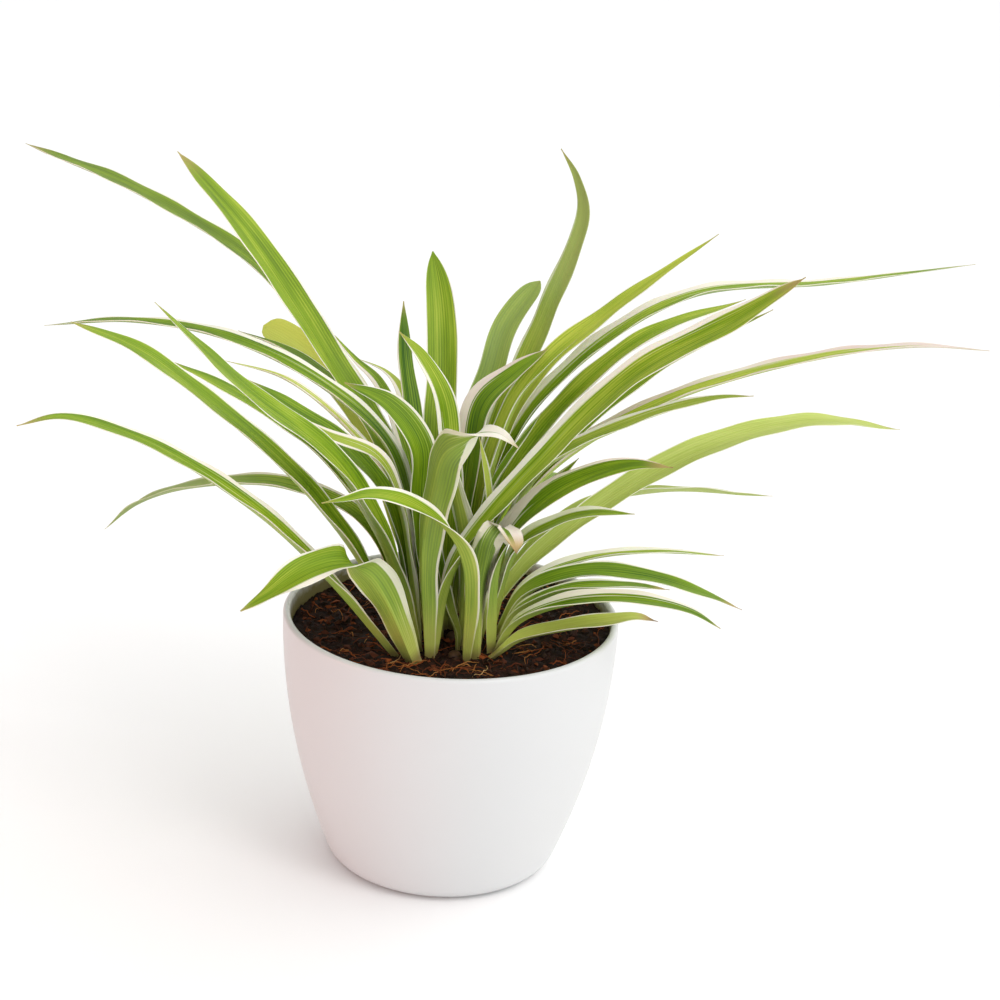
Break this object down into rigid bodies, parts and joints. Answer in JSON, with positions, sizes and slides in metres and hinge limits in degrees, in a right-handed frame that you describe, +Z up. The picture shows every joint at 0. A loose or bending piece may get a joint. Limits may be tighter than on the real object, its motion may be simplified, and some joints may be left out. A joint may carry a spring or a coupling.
{
  "type": "potted spider plant",
  "caption": "Variegated spider plant with long arching strap leaves, growing from dark coir soil in a smooth tapered white pot.",
  "frame": {"origin": "middle of the flat underside of the pot, on the surface that it stands on", "axes": "+Z up along the pot's axis; the picture looks along +Y from a little above, with +X to the right"},
  "size_m": [0.3826, 0.2084, 0.2626],
  "materials": {
    "pot_plastic": "smooth moulded white plastic with a soft satin sheen",
    "coir_soil": "moist dark crumbly coir potting soil with rust-brown fibres",
    "crown_tissue": "dull dry brown husk over firm plant tissue",
    "leaf_green": "satin leaf, green middle with fine lengthwise ribs and cream-white margins",
    "leaf_pale": "satin leaf, pale yellow-green all over"
  },
  "bodies": {
    "root": {"crown_back": "crown_tissue", "crown_front": "crown_tissue", "crown_left": "crown_tissue", "crown_middle": "crown_tissue", "leaf_back_01": "leaf_green", "leaf_back_02": "leaf_green", "leaf_back_03": "leaf_green", "leaf_centre_01": "leaf_green", "leaf_centre_02": "leaf_green", "leaf_centre_03": "leaf_green", "leaf_centre_04": "leaf_green", "leaf_centre_05": "leaf_green", "leaf_centre_06": "leaf_green", "leaf_centre_07": "leaf_green", "leaf_centre_09": "leaf_green", "leaf_centre_10": "leaf_green", "leaf_centre_11": "leaf_green", "leaf_front_01": "leaf_green", "leaf_left_01": "leaf_green", "leaf_left_02": "leaf_green", "leaf_left_03": "leaf_green", "leaf_left_04": "leaf_green", "leaf_left_05": "leaf_green", "leaf_left_06": "leaf_green", "leaf_left_07": "leaf_green", "leaf_left_08": "leaf_green", "leaf_left_09": "leaf_green", "leaf_left_10": "leaf_green", "leaf_left_11": "leaf_green", "leaf_left_12": "leaf_pale", "leaf_left_13": "leaf_green", "leaf_left_14": "leaf_green", "leaf_left_15": "leaf_green", "leaf_left_16": "leaf_green", "leaf_right_01": "leaf_green", "leaf_right_02": "leaf_green", "leaf_right_03": "leaf_green", "leaf_right_04": "leaf_green", "leaf_right_05": "leaf_green", "leaf_right_06": "leaf_green", "leaf_right_07": "leaf_green", "leaf_right_08": "leaf_green", "leaf_right_09": "leaf_green", "leaf_right_10": "leaf_green", "leaf_right_11": "leaf_pale", "leaf_right_12": "leaf_pale", "leaf_right_13": "leaf_green", "leaf_right_14": "leaf_green", "leaf_right_15": "leaf_green", "leaf_right_16": "leaf_green", "leaf_right_17": "leaf_green", "leaf_right_18": "leaf_green", "leaf_right_19": "leaf_pale", "leaf_right_20": "leaf_green", "leaf_right_21": "leaf_green", "leaf_right_22": "leaf_green", "pot": "pot_plastic", "soil": "coir_soil"}
  },
  "joints": []
}
